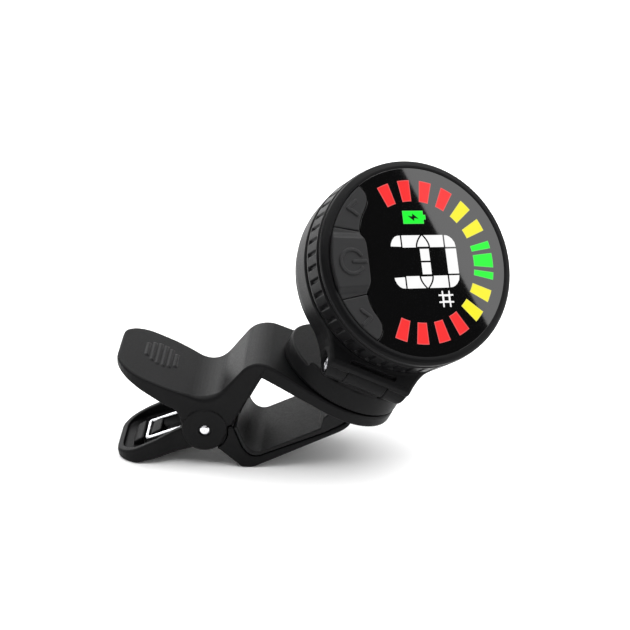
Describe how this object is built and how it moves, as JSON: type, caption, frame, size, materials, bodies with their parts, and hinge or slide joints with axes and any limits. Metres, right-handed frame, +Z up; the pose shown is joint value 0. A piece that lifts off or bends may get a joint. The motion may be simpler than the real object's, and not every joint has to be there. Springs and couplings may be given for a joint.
{
  "type": "clip on tuner",
  "caption": "Spring clip with padded V jaws carrying a round tuner display on a swivel, tilt hinge and rotating knurled ring, with three soft keys on its face.",
  "frame": {"origin": "middle of the bounding box, on the surface the clip stands on", "axes": "+X along the clip from thumb levers to jaws, +Y along the pivot pin towards the back of the display, +Z up"},
  "size_m": [0.0746, 0.037, 0.0568],
  "materials": {
    "black_plastic": "fine matte texture",
    "pad_rubber": "matte soft rubber",
    "key_rubber": "satin silicone",
    "mat_silicone": "matte silicone",
    "polished_steel": "bright nickel plate",
    "screw_steel": "plated steel",
    "dark_window": "polished dark acrylic",
    "display_body": "lit segment module",
    "board_green": "solder-masked board",
    "cell_foil": "foil pouch",
    "sensor_brass": "thin disc"
  },
  "bodies": {
    "lower_clip": {"lower_arm": "black_plastic", "lower_jaw_pad": "pad_rubber", "pivot_pin": "polished_steel", "torsion_spring": "polished_steel"},
    "upper_clip": {"upper_arm": "black_plastic", "upper_jaw_pad": "pad_rubber"},
    "turntable": {"swivel_base": "black_plastic", "swivel_washer": "screw_steel", "swivel_screw": "screw_steel"},
    "yoke": {"yoke": "black_plastic", "hinge_screw_left": "screw_steel", "hinge_screw_right": "screw_steel", "hinge_washer_left": "screw_steel", "hinge_washer_right": "screw_steel", "friction_ring": "pad_rubber"},
    "display_head": {"knurled_bezel": "black_plastic", "display_lens": "dark_window", "keypad_mat": "mat_silicone", "switch_down": "screw_steel", "switch_power": "screw_steel", "switch_up": "screw_steel", "display_panel": "display_body", "circuit_board": "board_green", "rear_housing": "black_plastic", "housing_screw_1": "screw_steel", "housing_screw_2": "screw_steel", "housing_screw_3": "screw_steel", "usb_socket": "screw_steel", "battery_cell": "cell_foil", "piezo_sensor": "sensor_brass"},
    "key_down": {"button_down": "key_rubber"},
    "key_power": {"button_power": "key_rubber"},
    "key_up": {"button_up": "key_rubber"}
  },
  "joints": [
    {"name": "clip_open", "type": "hinge", "parent": "lower_clip", "child": "upper_clip", "pos_m": [-0.01969, -0.00116, 0.00795], "axis": [0, -1, 0], "range_deg": [0, 32], "stiffness_Nm_per_rad": 0.05, "springref_deg": -34.38, "deforming": ["torsion_spring"]},
    {"name": "swivel", "type": "hinge", "parent": "upper_clip", "child": "turntable", "pos_m": [0.00566, -0.00116, 0.01526], "axis": [0.4648, 0, 0.8854], "continuous": true},
    {"name": "tilt", "type": "hinge", "parent": "turntable", "child": "yoke", "pos_m": [0.01052, -0.0121, 0.021], "axis": [-0.8757, -0.1478, 0.4597], "range_deg": [-74, 26]},
    {"name": "display_rotate", "type": "hinge", "parent": "yoke", "child": "display_head", "pos_m": [0.02008, -0.005, 0.0415], "axis": [0.4229, -0.6944, 0.5822], "continuous": true},
    {"name": "key_down_press", "type": "slide", "parent": "display_head", "child": "key_down", "axis": [-0.4229, 0.6944, -0.5822], "range_m": [0, 0.00045], "stiffness_N_per_m": 1500},
    {"name": "key_power_press", "type": "slide", "parent": "display_head", "child": "key_power", "axis": [-0.4229, 0.6944, -0.5822], "range_m": [0, 0.00045], "stiffness_N_per_m": 1500},
    {"name": "key_up_press", "type": "slide", "parent": "display_head", "child": "key_up", "axis": [-0.4229, 0.6944, -0.5822], "range_m": [0, 0.00045], "stiffness_N_per_m": 1500}
  ]
}
